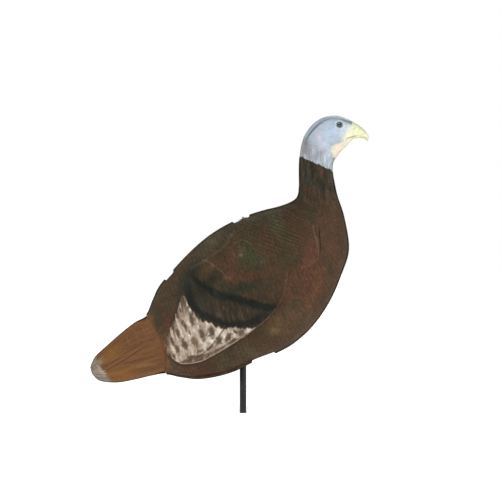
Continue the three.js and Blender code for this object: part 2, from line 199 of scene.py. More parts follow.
def spline(points, closed=False, steps=5):
    """Points along a smooth curve through the given ones."""
    p = np.array(points, float)
    n = len(p)
    made = []
    for i in range(n if closed else n - 1):
        take = [(i + k) % n if closed else min(max(i + k, 0), n - 1) for k in (-1, 0, 1, 2)]
        made += [between(*p[take], f) for f in np.arange(steps) / steps]
    if not closed:
        made.append(p[-1])
    return np.array(made)


def distance(x, z, line):
    """Distance to a polyline in the side view, and how far along it the nearest place is, from 0 to 1."""
    best = np.full(x.shape, 1e9)
    place = np.zeros(x.shape)
    for k, ((ax, az), (bx, bz)) in enumerate(zip(line[:-1], line[1:])):
        dx, dz = bx - ax, bz - az
        t = np.clip(((x - ax) * dx + (z - az) * dz) / (dx * dx + dz * dz), 0, 1)
        gap = np.hypot(x - ax - t * dx, z - az - t * dz)
        nearer = gap < best
        best = np.where(nearer, gap, best)
        place = np.where(nearer, (k + t) / (len(line) - 1), place)
    return best, place


def off_line(x, z, points):
    """The same for the smooth curve through a few points."""
    return distance(x, z, spline(points))


def height_at(x, points):
    """Height of a smooth curve that runs from back to front."""
    line = spline(points)
    return np.interp(x, line[:, 0], line[:, 1])


def depth_inside(x, z, outline):
    """How deep each place lies inside a closed outline in the side view, negative outside it."""
    line = spline(outline, closed=True)
    loop = np.vstack([line, line[:1]])
    odd = np.zeros(x.shape, bool)
    for (ax, az), (bx, bz) in zip(loop[:-1], loop[1:]):
        if az != bz:
            odd ^= ((az > z) != (bz > z)) & (x < ax + (z - az) * (bx - ax) / (bz - az))
    far, _ = distance(x, z, loop)
    return np.where(odd, far, -far)


def soft(gap, width):
    """1 where the gap is 0, fading out over the width."""
    return np.exp(-(gap / width) ** 2)


def line_mask(x, z, points, width):
    return soft(off_line(x, z, points)[0], width)


def reach(x, z, at_x, at_z, across, length, lean=0):
    """Distance from the middle of an ellipse, in its own radii. lean turns it from +Z to +X, in degrees."""
    c, s = math.cos(math.radians(lean)), math.sin(math.radians(lean))
    dx, dz = x - at_x, z - at_z
    return np.hypot((c * dx - s * dz) / across, (s * dx + c * dz) / length)


def blob(x, z, *ellipse):
    """A soft round patch."""
    return soft(reach(x, z, *ellipse), 1)


def coat(places, colour):
    """A first coat of one colour, in 0-255 values, over a grid of places."""
    return np.full(places.shape + (3,), colour, float)


def spray(paint, colour, mask, strength=1.0):
    """Airbrushes a colour, or another paint, over the paint."""
    cover = np.clip(mask, 0, 1) * strength
    paint += (np.array(colour, float) - paint) * cover[..., None]


def spray_patches(paint, x, z, patches, within=1):
    """Airbrushes patches, each given by its ellipse, colour and strength."""
    for *ellipse, colour, strength in patches:
        spray(paint, colour, blob(x, z, *ellipse) * within, strength)


def linear(colour):
    c = np.clip(np.asarray(colour, float) / 255, 0, 1)
    return np.where(c <= 0.04045, c / 12.92, ((c + 0.055) / 1.055) ** 2.4)


# ---- feathers and wing

FEATHERS_ROUND = 23 # across one half of the body
FEATHER_TIP = 0.55 # how far a tip reaches past its row, in rows
COMB_PITCH = 6.6 # of the fine lines across the shoulder and breast


def feathers(u, angle, points):
    """The moulded feathers: distance to the tip of the one on top, and its random number."""
    line = np.linspace(TAIL_JOINT, NECK_JOINT, 400)
    middle = skin_points(line, np.full_like(line, math.pi / 2))
    girth = math.pi * (along(line, HALF) + 40) / 2
    length = 0.7 * girth / FEATHERS_ROUND + 1.5
    step = np.linalg.norm(np.diff(middle, axis=0), axis=1) / length[1:]
    rows = np.concatenate([[0], np.cumsum(step)])
    row = rows[-1] - np.interp(u, line, rows) + 0.35 * noise(points, 45, 5)
    across = angle / math.pi * FEATHERS_ROUND + 0.3 * noise(points, 45, 9)
    tip_gap = np.full(u.shape, 1e9)
    number = np.zeros(u.shape)
    for back in (2, 1, 0):
        k = np.floor(row) - back + 1
        q = across + 0.5 * (k % 2)
        lateral = 2 * (q - np.floor(q)) - 1
        ahead = k + FEATHER_TIP * (1 - lateral ** 2) - row
        on_top = (ahead > 0) & (tip_gap > 1e8)
        tip_gap = np.where(on_top, ahead, tip_gap)
        mixed = np.sin(k * 12.9898 + np.floor(q) * 78.233) * 43758.5453 % 1 # of its row and its place in it
        number = np.where(on_top, mixed, number)
    return np.minimum(tip_gap, 2) * np.interp(u, line, length), number


def combed(x, z, points):
    """Fine moulded lines across the shoulder and breast, from -1 to 1, fading out away from them."""
    phase = (z + 0.36 * x + 6 * noise(points, 34, 15)) / COMB_PITCH
    uneven = 0.8 + 0.8 * noise(points, 12, 17)
    return np.sin(2 * math.pi * phase) * blob(x, z, 70, 335, 70, 50) * uneven


FRONT_EDGE = [(80, 244), (75, 221), (67, 206), (52, 188), (35, 172)]
LOW_EDGE = [(16, 157), (2, 146), (-18, 133), (-39, 119), (-60, 108)]
HEEL = [(-81, 98), (-102, 94.5), (-117, 94.5), (-131, 102), (-140, 113), (-145, 126)]
WING = [
    (81, 282), (82, 264), *FRONT_EDGE, *LOW_EDGE[::2], *HEEL, (-145, 140), (-137, 165), (-130, 180),
    (-122, 204), (-114, 232), (-104, 258), (-84, 286), (-52, 305), (-32, 324), (-16, 345), (20, 352),
    (58, 336),
]
PRIMARIES = [
    (-116, 222), (-108, 218), (-102, 204), (-96, 195), (-87, 184), (-74, 176), (-60, 172), (-52, 166.5),
    (-32, 163), (-11, 165), (3, 162.5), (24, 165), *LOW_EDGE, *HEEL, (-145, 137), (-142, 151),
    (-137, 165), (-130, 179), (-125, 195), (-119, 213),
]
WING_FRONT = [(83, 280), (83, 264), *FRONT_EDGE, *LOW_EDGE, *HEEL[:2], (-117, 95)]
UPPER_BAND = [
    (-96, 262), (-89, 253), (-80, 246), (-67, 237), (-56, 230), (-39, 224), (-18, 219), (3, 213.5),
    (24, 208), (45, 203), (60, 202),
]
LOWER_BAND = [
    (-106, 250), (-103, 236), (-101, 226), (-96, 211), (-87, 197), (-71, 187), (-52, 178), (-32, 172),
    (-11, 172), (10, 174), (24, 179), (38, 190),
]
BANDS = [ # with their widths from back to front, and their colours
    (UPPER_BAND, (8, 12, 14, 14, 12), (29, 32, 28)),
    (LOWER_BAND, (14, 13, 9, 10, 14), (30, 30, 27)),
]
COVERT_LINE = [(-74, 290), (-63, 286), (-50, 277), (-40, 269), (-32, 260), (-25, 256)]
PRIMARY_CREASE = [
    (-35, 162), (-47, 146), (-59, 131), (-70, 120), (-85, 109.5), (-100, 104), (-114, 99), (-127, 98.5),
]
WING_BACK = [(-116, 222), (-128, 190), (-138, 164), (-146, 135), (-142, 114)]
LOW_CREASE = [(-114, 102), (-95, 111.5), (-74, 114.5), (-52, 123), (-32, 134), (-18, 145)]
BREAST_CREASE = [(143, 361), (145, 334), (146, 318), (145, 305), (140, 293), (129, 284), (112, 277)]
BREAST_LIGHT = [(131, 362), (134, 342), (140, 322), (142, 300)]
SHOULDER_LINE = [
    (-17, 343), (-25, 331), (-31, 320), (-40, 311), (-52, 303), (-66, 293), (-80, 284), (-97, 276),
]
RUFFLES = [
    [(-24, 338), (-12, 335), (-2, 341)],
    [(-14, 322), (-3, 328), (10, 325), (20, 314), (23, 302), (19, 291)],
    [(-8, 316), (-5, 308), (-3, 298), (4, 292)],
    [(33, 285), (40, 288), (44, 296)],
    [(-20, 306), (-16, 298), (-18, 288)],
]
COVERTS = [
    (-112, 246), (-92, 252), (-60, 230), (-18, 218), (60, 200), (52, 186), (30, 165), (-30, 160),
    (-75, 174), (-98, 195), (-110, 222),
]
COVERT_STREAKS = [ # x, z and half length
    (-36, 201, 3), (-29, 197, 4), (-19, 184, 9), (-7, 190, 9), (-2, 187, 8), (8, 196, 6), (-48, 190, 5),
]
# Brown spots of the primaries, and paler marks between them: x, z, half width, half length and lean.
SPOTS = [
    (-112, 211, 3, 7.5, -15), (-102, 201, 1.6, 4.5, -20), (-96, 180, 4.2, 14.5, -12),
    (-108, 166, 3.8, 9.8, -15), (-122, 184, 3, 6, -10), (-131, 165, 3, 7.3, -12),
    (-122, 153.5, 3.1, 8.6, -15), (-77.5, 153.5, 5.3, 12.8, -18), (-59, 156, 6.4, 11.5, -20),
    (-91, 138, 5.3, 10.6, -20), (-109.5, 132.5, 4.9, 11.3, -25), (-123, 124, 4.2, 8.7, -25),
    (-132.5, 139.5, 2.6, 8, -20), (-142.5, 137, 2.1, 10.5, -10), (-129, 110.5, 3.1, 5.8, -25),
    (-81, 120, 2.8, 7.2, 65), (-61.5, 127, 3.1, 8.6, 50), (-45, 139.5, 5.6, 9.2, 35),
    (-28, 146.5, 6.2, 8.5, 40), (-3, 155, 4.2, 7.2, 40), (-98, 110.5, 2.1, 8.5, 75),
    (-15, 157, 2.4, 5.5, -50), (-117, 196, 1.6, 4.5, -8), (-114, 172, 1.4, 5, -14),
    (-100, 155, 1.3, 5, -16),
]
PALE_MARKS = [
    (-104, 206, 1.6, 5, -14), (-98, 196, 1.8, 8, -35), (-67, 173, 2.5, 6, -10), (-57, 139, 4, 5, 40),
    (-45, 158, 6, 3.5, -40), (-34, 148, 3, 4, 40), (-17, 151, 4, 3, 30), (10, 158, 9, 2.4, 62),
    (-84, 168, 2.4, 9, -12), (-100, 150, 3, 8, -18), (-77, 138, 5, 5, -20), (-93, 160, 3, 6, -10),
]

# Airbrushed patches: x, z, radius across, radius along, the lean if there is one, colour and strength.
PRIMARY_PATCHES = [
    (-117, 190, 8, 13, -14, (86, 71, 56), 0.5),
    (-51, 127, 14, 7, (104, 85, 68), 0.5),
    (-105, 113, 8, 5, (106, 88, 70), 0.5),
    (-135, 114, 5, 7, (104, 84, 66), 0.6),
    (0, 156, 12, 6, 60, (92, 80, 63), 0.6),
    (-4, 154, 7, 4, 60, (104, 96, 76), 0.6),
]
COVERT_PATCHES = [
    (-80, 208, 20, 16, (46, 48, 38), 0.6),
    (-50, 207, 14, 9, 70, (74, 51, 42), 0.6),
    (-45, 188, 5, 7, 30, (80, 70, 64), 0.4),
]
UPPER_WING_PATCHES = [
    (-10, 234, 12, 62, 73, (42, 45, 33), 0.75),
    (-62, 250, 12, 30, 55, (36, 39, 27), 0.8),
]
BAND_PATCHES = [
    (-51, 229, 4.5, 4.5, (54, 58, 52), 0.6),
    (-104, 254, 15, 33, 29, (44, 44, 37), 0.9),
]
BODY_PATCHES = [
    (60, 372, 95, 15, 72, (76, 70, 52), 0.5),
    (-60, 322, 18, 50, 48, (76, 74, 58), 0.5),
    # a painted highlight on the shoulder's moulded bulge
    (-55, 327, 8, 14, 40, (86, 82, 64), 0.5),
    (-150, 215, 22, 50, 30, (73, 61, 46), 0.5),
    (15, 305, 22, 27, -20, (54, 64, 42), 0.6),
    (17, 293, 10, 12, (48, 66, 38), 0.4),
    (-4, 303, 8, 10, (92, 82, 56), 0.5),
    (-3, 299, 3.5, 1.8, (160, 132, 92), 0.7),
    (60, 358, 26, 10, 70, (62, 68, 46), 0.5),
    (47, 322, 18, 14, (74, 50, 35), 0.4),
    (-24, 292, 12, 24, (90, 54, 40), 0.55),
    (-60, 275, 14, 8, (98, 70, 44), 0.4),
    (-27, 257, 10, 7, (122, 76, 64), 0.55),
    (10, 258, 10, 44, 84, (84, 50, 36), 0.5),
    (25, 238, 9, 40, 100, (52, 47, 33), 0.5),
    (129, 304, 10, 22, 15, (108, 58, 46), 0.5),
    (171, 308, 9, 16, 10, (106, 64, 48), 0.4),
    (110, 258, 26, 36, 10, (98, 56, 42), 0.55),
    (148, 262, 12, 34, 12, (108, 62, 42), 0.5),
    (140, 236, 7, 14, 20, (110, 78, 46), 0.5),
    (74, 214, 8, 16, 30, (104, 62, 44), 0.4),
    (112, 208, 22, 26, 20, (104, 70, 48), 0.6),
    (158, 345, 24, 40, 10, (92, 68, 52), 0.45),
    (150, 290, 45, 60, 15, (96, 66, 49), 0.4),
    (70, 168, 26, 20, 50, (108, 82, 56), 0.55),
    (58, 156, 10, 8, (122, 100, 66), 0.5),
    (92, 190, 12, 20, 40, (98, 74, 52), 0.5),
    (-160, 168, 9, 26, -8, (60, 52, 38), 0.5),
    (-140, 168, 4, 30, -18, (96, 54, 40), 0.6),
    (-150, 128, 9, 22, (120, 76, 48), 0.75),
    (-144, 92, 11, 12, (122, 86, 58), 0.75),
    (-128, 84, 12, 6, (112, 72, 54), 0.6),
    (-177, 178, 8, 20, -20, (112, 80, 50), 0.85),
    (-164, 150, 5, 16, -24, (108, 76, 48), 0.8),
    (-40, 88, 60, 12, 80, (80, 68, 49), 0.6),
    (14, 116, 36, 15, 20, (80, 71, 52), 0.65),
    (-96, 84, 16, 6, (98, 64, 46), 0.5),
    (-66, 77, 24, 4, (96, 52, 42), 0.45),
    (-30, 100, 12, 8, 30, (64, 68, 46), 0.5),
    (118, 175, 20, 24, 30, (88, 74, 52), 0.4),
    (120, 444, 6, 16, (50, 53, 46), 0.7),
    (150, 456, 4.5, 5, (88, 46, 42), 0.6),
    (123, 424, 9, 5, (74, 44, 32), 0.7),
    (145, 426, 6, 8, (70, 67, 62), 0.6),
    (137, 398, 22, 14, (74, 58, 42), 0.5),
    (163, 432, 5, 26, 10, (92, 80, 68), 0.55),
    (172, 392, 6, 18, 16, (88, 76, 62), 0.5),
    (-36, 310, 11, 11, (58, 52, 38), 0.7),
    (60, 207, 10, 15, 40, (44, 36, 26), 0.8),
    (-38, 243, 12, 9, (48, 48, 34), 0.6),
    (-94, 268, 10, 24, 40, (42, 41, 32), 0.7),
    (-126, 232, 15, 42, 35, (58, 50, 38), 0.6),
    (-100, 262, 9, 22, 38, (50, 46, 36), 0.5),
    (38, 222, 14, 9, (46, 42, 32), 0.6),
    (58, 320, 26, 20, 20, (66, 53, 37), 0.5),
    (186, 335, 7, 30, 14, (72, 61, 47), 0.4),
    (135, 367, 30, 14, (90, 73, 55), 0.4),
    (22, 367, 18, 9, (80, 77, 56), 0.45),
    (-5, 92, 16, 10, 20, (84, 76, 62), 0.5),
    (-158, 192, 12, 16, (56, 47, 36), 0.4),
    (-40, 302, 10, 12, (54, 47, 34), 0.5),
    (-13, 264, 10, 10, (62, 46, 33), 0.35),
    (206, 300, 7, 36, (72, 60, 46), 0.6),
]

BODY_BROWN = (69, 53, 38)
NECK_OLIVE = (56, 50, 39)
BARE_FOAM = (40, 38, 32)


def feather_ends(x, z):
    """The uneven ends of the wing's feathers, from -1 to 1."""
    return streaks(x + 0.3 * z, z * 0.25, 2.6, 57)


def wing_relief(x, z):
    """Height of the moulded wing, and how deep each place lies inside its outline."""
    deep = depth_inside(x, z, WING) + 2.4 * feather_ends(x, z) * smooth(-x, 118, 130)
    upper = smooth(z - 0.35 * x, 275, 345) # the wing runs out into the shoulder
    edge = 1 - np.exp(-np.maximum(deep, 0) / 2.6)
    height = edge * (5.2 - 1.2 * smooth(deep, 4, 30)) * (1 - 0.92 * upper)
    height -= 1.1 * smooth(depth_inside(x, z, PRIMARIES), -1.2, 1.2) * (deep > 0)
    height -= 0.9 * line_mask(x, z, PRIMARY_CREASE, 0.9)
    height += 0.5 * soft(deep - 2.4, 1.8) * (z < 200)
    height += 0.7 * line_mask(x, z, UPPER_BAND, 6) * (deep > 0)
    height += 0.8 * line_mask(x, z, COVERT_LINE, 2.5)
    return height, deep


def body_relief(x, z, tip_gap, number, plain, points):
    """Height of the moulded feathers and folds on the body."""
    height = (0.45 * np.exp(-tip_gap / 4.5) + 0.1 * (number - 0.5)) * plain
    height += 0.4 * combed(x, z, points)
    gap, place = off_line(x, z, BREAST_CREASE)
    height -= 1.3 * soft(gap, 1.5) * (1 - 0.7 * place) * smooth(place, 0, 0.15)
    height += 1.6 * soft(gap - 9, 7) * (x < 146)
    height += 1.1 * line_mask(x, z, SHOULDER_LINE, 3)
    height += 2.2 * blob(x, z, -54, 326, 15, 34, 48)
    return height + 0.5 * fractal(points, 34, 21)


def long_feathered(x, z, deep):
    """1 on the wing below its upper band, where the feathers are long, and 0 elsewhere."""
    return smooth(deep, 0, 4) * smooth(height_at(x, UPPER_BAND) - z, -6, 6)


def long_feathers(x, z):
    """Phase of the long lines down the wing's feathers, in millimetres across them."""
    lean = 0.35 * smooth(-x, -40, 100)
    return x * (1 - 0.3 * lean) + z * (0.45 - lean) + 4 * np.sin(z / 23)


def paint_primaries(x, z, deep, points):
    """White wing feathers with brown spots, brownest where they meet the body."""
    lines = x + 0.25 * z
    long_cells = points * [1, 1, 0.6]
    white = coat(x, (174, 158, 141))
    white *= (1 + 0.16 * streaks(lines, z * 0.14, 2.2, 61))[..., None]
    spray(white, (210, 199, 187), smooth(fractal(long_cells, 13, 71), 0.0, 0.5), 0.65)
    spray(white, (124, 106, 88), smooth(fractal(long_cells, 9, 75), 0.2, 0.65), 0.5)
    spray(white, (206, 196, 184), blob(x, z, -36, 152, 18, 9, 20), 0.5)
    streak = streaks(lines, z * 0.12, 3.0, 83)
    frayed = np.maximum(line_mask(x, z, WING_BACK, 12), smooth(z, 176, 206))
    spray(white, (82, 66, 54), frayed * smooth(streak, -0.6, 0.1), 0.86)
    for mark in PALE_MARKS:
        spray(white, (220, 210, 199), blob(x, z, *mark), 0.85)
    wobble = 1 + 0.4 * noise(points, 4.5, 81) + 0.15 * noise(points, 2, 82)
    for spot in SPOTS:
        far = reach(x, z, *spot) * wobble
        spray(white, (88, 75, 60), 1 - smooth(far, 0.55, 1.4), 0.92)
        spray(white, (74, 61, 48), 1 - smooth(far, 0.2, 0.75), 0.45)
    spray(white, (128, 110, 92), blob(x, z, -84, 124, 40, 11, 70), 0.5)
    under = smooth(height_at(x, LOW_CREASE) - z, -2.5, 1.5) * smooth(x, -122, -112)
    mottle = 0.85 + 0.35 * streaks(x - z, x + z, 4.5, 85)
    spray(white, (80, 64, 50), under * mottle, 0.9)
    # painted highlight: a pale line along the lower edge of the raised wing
    rim = soft(deep - 1.8, 1.7) * (z < 150) * smooth(x, -142, -126)
    spray(white, (202, 176, 157), rim, 0.85)
    # painted shade: a dark line in the moulded crease across the primaries
    gap, place = off_line(x, z, PRIMARY_CREASE)
    spray(white, (58, 48, 38), soft(gap, 0.9) * (1 - 0.5 * place), 0.85)
    spray(white, (88, 70, 60), blob(x, z, -117, 204, 7, 14, 10) * smooth(streak, -0.9, 0.2), 0.95)
    spray(white, (78, 68, 56), blob(x, z, -112, 219, 6, 8, -15), 0.85)
    spray(white, (86, 71, 58), blob(x, z, -130, 160, 8, 28, -14) * smooth(streak, -0.7, 0.3), 0.55)
    spray_patches(white, x, z, PRIMARY_PATCHES)
    return white


def paint_coverts(paint, x, z, on_wing):
    """The dark feathers above the primaries, with their two black bands."""
    lines = x + 0.3 * z
    low = smooth(depth_inside(x, z, COVERTS), -3, 3) * on_wing
    spray(paint, (50, 44, 35), low, 0.9)
    spray_patches(paint, x, z, COVERT_PATCHES, low)
    spray_patches(paint, x, z, UPPER_WING_PATCHES, on_wing)
    paint *= (1 + 0.16 * low * streaks(lines, z * 0.1, 2.6, 51))[..., None]
    for at_x, at_z, length in COVERT_STREAKS:
        spray(paint, (94, 88, 68), blob(x, z, at_x, at_z, 1.3, length, -14), 0.45)
    ragged = 2.1 * streaks(lines, z * 0.3, 4, 55)
    for line, widths, colour in BANDS:
        gap, place = off_line(x, z, line)
        half = np.interp(place, np.linspace(0, 1, len(widths)), widths) / 2 + ragged
        ends = smooth(place, 0, 0.06) * (1 - smooth(place, 0.94, 1)) * 0.5 + 0.5
        spray(paint, colour, (1 - smooth(gap, half - 3.5, half + 4)) * on_wing * ends, 0.95)
    spray_patches(paint, x, z, BAND_PATCHES)
    spray(paint, (24, 24, 19), blob(x, z, -96, 218, 12, 20) * low, 0.5)
    spray(paint, (30, 28, 22), blob(x, z, -89, 263, 8, 9), 0.35)


def paint_body(x, z, tip_gap, number, deep, plain, points):
    paint = coat(x, BODY_BROWN)
    spray(paint, NECK_OLIVE, smooth(z - 0.3 * x, 330, 400))
    spray_patches(paint, x, z, BODY_PATCHES)
    blotch = fractal(points, 26, 31)
    spray(paint, (92, 62, 46), smooth(blotch, 0.15, 0.7), 0.3)
    spray(paint, (50, 52, 38), smooth(-blotch, 0.15, 0.7), 0.35)
    neck = smooth(z - 0.3 * x, 320, 380)
    paint *= (1 + 0.26 * neck * noise(points * [1, 1, 0.12], 3.2, 41))[..., None]

    on_wing = smooth(deep, -0.5, 1.5)
    # painted shadow: the body darkens just below the raised lower edge of the wing
    below = np.exp(-np.maximum(-deep, 0) / 1.8) * (deep < 0) * (z < 215) * (x > -128)
    spray(paint, (42, 32, 25), below, 0.65)
    paint_coverts(paint, x, z, on_wing)
    fringe = (2.8 + 1.5 * (z > 185)) * np.maximum(smooth(deep, 1.5, 5), smooth(-x, 122, 132))
    ragged = smooth(depth_inside(x, z, PRIMARIES) + fringe * feather_ends(x, z), -0.9, 1.4)
    spray(paint, paint_primaries(x, z, deep, points), ragged * on_wing)

    gap, place = off_line(x, z, WING_FRONT)
    shown = (place < 0.6) * smooth(place, 0, 0.1) * (0.5 + 0.5 * smooth(place, 0.25, 0.4))
    spray(paint, (142, 108, 92), soft(gap, 0.9) * shown, 0.75)
    gap, place = off_line(x, z, BREAST_CREASE)
    # painted shade: a dark line in the upper part of the breast's moulded groove
    spray(paint, (34, 24, 18), soft(gap, 1) * smooth(place, 0, 0.15) * (1 - smooth(place, 0.4, 0.7)), 0.8)
    spray(paint, (128, 88, 76), soft(gap, 1.5) * smooth(place, 0.45, 0.7), 0.45)
    gap, place = off_line(x, z, BREAST_LIGHT)
    spray(paint, (122, 100, 80), soft(gap, 1.2) * smooth(place, 0, 0.2), 0.55)
    spray(paint, (132, 94, 80), line_mask(x, z, COVERT_LINE, 1.6), 0.42)
    spray(paint, (100, 90, 69), line_mask(x, z, SHOULDER_LINE, 2.6), 0.38)
    for line in RUFFLES:
        gap, place = off_line(x, z, line)
        spray(paint, (112, 96, 70), soft(gap, 1.3) * (1 - place ** 2), 0.35)

    # painted light on the moulded feathers: a painted highlight at each tip and a painted shadow line behind
    # it, fainter across the breast
    scales = 1 - 0.6 * blob(x, z, 75, 335, 72, 52)
    tip = 0.2 * np.exp(-tip_gap / 0.9) - 0.13 * soft(tip_gap - 2.6, 1.5)
    tone = 1 + plain * scales * (0.1 * (number - 0.5) + tip) + 0.15 * combed(x, z, points)
    tone *= 1 + 0.15 * noise(points, 1.9, 101)
    return paint * tone[..., None]


# ---- tail

TAIL_BROWN = (101, 69, 44)
TAIL_FEATHERS = 8
TAIL_LINES = [
    [(-261, 89), (-239, 104), (-216, 119), (-199, 129), (-182, 140)],
    [(-258, 82), (-239, 93), (-218, 106), (-195, 121), (-173, 134)],
    [(-224, 95), (-190, 104), (-160, 112)],
]
TAIL_EDGES = [
    [(-258, 92), (-238, 107), (-215, 122), (-197, 132)],
    [(-256, 86), (-238, 97), (-217, 110), (-193, 125), (-174, 139)],
    [(-209, 159), (-203, 151), (-195, 134)],
    [(-194, 168), (-186, 155), (-177, 144)],
    [(-220, 149), (-218, 136), (-207, 127)],
    [(-184, 164), (-173, 151)],
    [(-199, 89), (-173, 92), (-152, 89)],
]
GREY_TIP = [
    (-284, 110), (-277, 99), (-269, 87), (-262, 77), (-257, 69), (-250, 60), (-240, 48), (-330, 30),
    (-330, 120),
]
TAIL_PATCHES = [
    (-231, 72, 34, 12, (136, 94, 44), 0.6),
    (-248, 116, 12, 22, 50, (132, 88, 40), 0.5),
    (-190, 92, 30, 6, -6, (132, 94, 58), 0.5),
    (-200, 140, 22, 16, (94, 62, 40), 0.35),
    (-166, 160, 8, 22, -14, (92, 65, 43), 0.5),
    (-150, 112, 9, 30, -6, (106, 66, 42), 0.5),
]


def tail_feathers(u, angle):
    """Place across the fan of tail feathers, counted from the back."""
    return angle / math.pi * TAIL_FEATHERS + 0.12 * np.sin(u * 0.9)


def paint_tail(x, z, u, angle, points):
    across = tail_feathers(u, angle)
    f = across % 1
    from_side = np.abs(angle - math.pi / 2)
    paint = coat(x, TAIL_BROWN)
    fine = streaks(across * 9, u * 1.2, 1, 111)
    broad = streaks(across * 2.2, u * 0.7, 1, 115)
    paint *= (1 + 0.1 * fine + 0.08 * broad)[..., None]
    spray(paint, (134, 98, 68), soft(f - 0.08, 0.05), 0.25)
    spray(paint, (82, 56, 36), soft(f - 0.94, 0.06), 0.3)
    spray(paint, (128, 92, 54), smooth(from_side, 0.9, 1.4), 0.5)
    spray_patches(paint, x, z, TAIL_PATCHES)
    spray(paint, (58, 42, 30), smooth(from_side, 1.4, 1.53), 0.85)
    for line in TAIL_LINES:
        gap, place = off_line(x, z, line)
        spray(paint, (74, 48, 30), soft(gap, 1.3) * smooth(1 - place, 0, 0.3), 0.6)
    for line in TAIL_EDGES:
        gap, place = off_line(x, z, line)
        spray(paint, (138, 104, 76), soft(gap, 1.1) * (0.3 + 0.7 * smooth(1 - place, 0, 0.6)), 0.3)
    spray(paint, (136, 126, 98), blob(x, z, -272, 97, 6, 10, 35), 0.75)
    grey = coat(x, (128, 116, 105))
    grey *= (1 + 0.2 * streaks(across * 12, u, 1, 125))[..., None]
    spray(grey, (176, 164, 154), blob(x, z, -268, 82, 4, 12, -35), 0.5)
    edge = depth_inside(x, z, GREY_TIP) + 4 * streaks(across * 5, u * 0.5, 1, 121)
    spray(paint, grey, smooth(edge, -3, 2.5))
    return paint * (1 + 0.07 * noise(points, 1.8, 131))[..., None]


def tail_relief(u, angle, points):
    f = tail_feathers(u, angle) % 1
    down = 1 - u / TAIL_JOINT
    shingle = 0.9 * f * np.exp((f - 1) / 0.8) + 0.35 * soft(f - 0.5, 0.06)
    shingle *= smooth(down, -0.05, 0.25) * (1 - smooth(down, 0.85, 1))
    return shingle + 0.25 * fractal(points, 20, 141)


# ---- head

CROWN_STRIPE = [
    (119, 518), (125, 528), (134, 539), (145, 549.5), (156, 556), (169, 560), (181, 559.5), (190, 557),
    (208, 550),
]
MOUTH = [(190, 516), (197, 521), (204, 524), (211, 526), (219, 527), (228, 525), (236, 519)]
BEAK_EDGE = [(186, 512), (189, 520), (193, 527), (197, 533), (202, 541), (207, 548), (208, 560)]
RAGGED_EDGE = [
    (100, 489), (107, 488), (113, 488.5), (117, 483), (129, 479), (145, 472), (156, 467), (164, 464),
    (172, 460),
]
THROAT = [
    (167, 502), (168, 507), (174, 511), (184, 514), (192, 518), (202, 523), (214, 524), (214, 512),
    (192, 488), (179, 479), (173, 484), (169, 492),
]
CHEEK_SHADOW_EDGE = [(166, 509), (172, 511), (181, 513), (190, 517)]
EYE_AT = (183, 547)

HEAD_PATCHES = [
    (168, 536, 22, 19, (170, 186, 206), 0.95),
    (154, 512, 9, 16, -15, (172, 188, 200), 0.8),
    (144, 524, 6, 18, -8, (180, 177, 192), 0.85),
    (149, 503, 5, 10, -20, (178, 173, 188), 0.75),
    (131, 520, 6, 14, 15, (162, 168, 180), 0.75),
    (126, 540, 5, 10, 35, (140, 150, 160), 0.5),
    (119, 500, 10, 16, 10, (122, 122, 124), 0.9),
    (119, 514, 4, 8, 10, (104, 104, 108), 0.75),
    (138, 488, 14, 9, -25, (132, 134, 138), 0.85),
    (158, 477, 9, 9, -25, (164, 172, 178), 0.7),
    (163, 490, 6, 12, 10, (184, 193, 198), 0.7),
    (197, 543, 9, 8, (200, 208, 208), 0.85),
    (168, 566, 4, 26, 90, (206, 214, 221), 0.85),
    (195, 560, 4, 13, 108, (216, 222, 227), 0.9),
    (189, 531, 7, 6, (204, 214, 220), 0.6),
]
UPPER_BEAK_PATCHES = [
    (219, 533, 9, 5, 50, (221, 222, 160), 0.9),
    (202, 529, 8, 5, 60, (222, 223, 178), 0.6),
    (198, 536, 5, 9, (222, 226, 214), 0.6),
]
LOWER_BEAK_PATCHES = [
    (232, 520, 9, 5, (188, 182, 150), 0.8),
    (210, 522, 14, 3, (192, 189, 160), 0.5),
    (212, 541, 1.3, 2.8, 50, (160, 152, 112), 0.5),
]
THROAT_PATCHES = [
    (192, 517, 7, 5, (196, 197, 182), 0.6),
    (181, 503, 5, 9, 15, (232, 200, 184), 0.9),
    (200, 519, 9, 4, 60, (224, 208, 192), 0.7),
    (169, 499, 4, 9, (208, 208, 190), 0.7),
]


def beak_mask(x, z):
    """1 on the beak, fading to 0 on the face behind it."""
    edge, heights = np.array(BEAK_EDGE).T
    fade = 1 + 6 * (1 - smooth(z, 540, 553))
    return smooth((x - np.interp(z, heights, edge)) / fade, -1.1, 0.8)


def paint_beak(x, z):
    horn = coat(x, (216, 218, 188))
    spray_patches(horn, x, z, UPPER_BEAK_PATCHES)
    spray(horn, (188, 189, 166), smooth(z + 0.75 * x, 703, 708), 0.6)
    spray_patches(horn, x, z, LOWER_BEAK_PATCHES)
    return horn


def from_eye(x, z):
    return np.hypot(x - EYE_AT[0], z - EYE_AT[1])


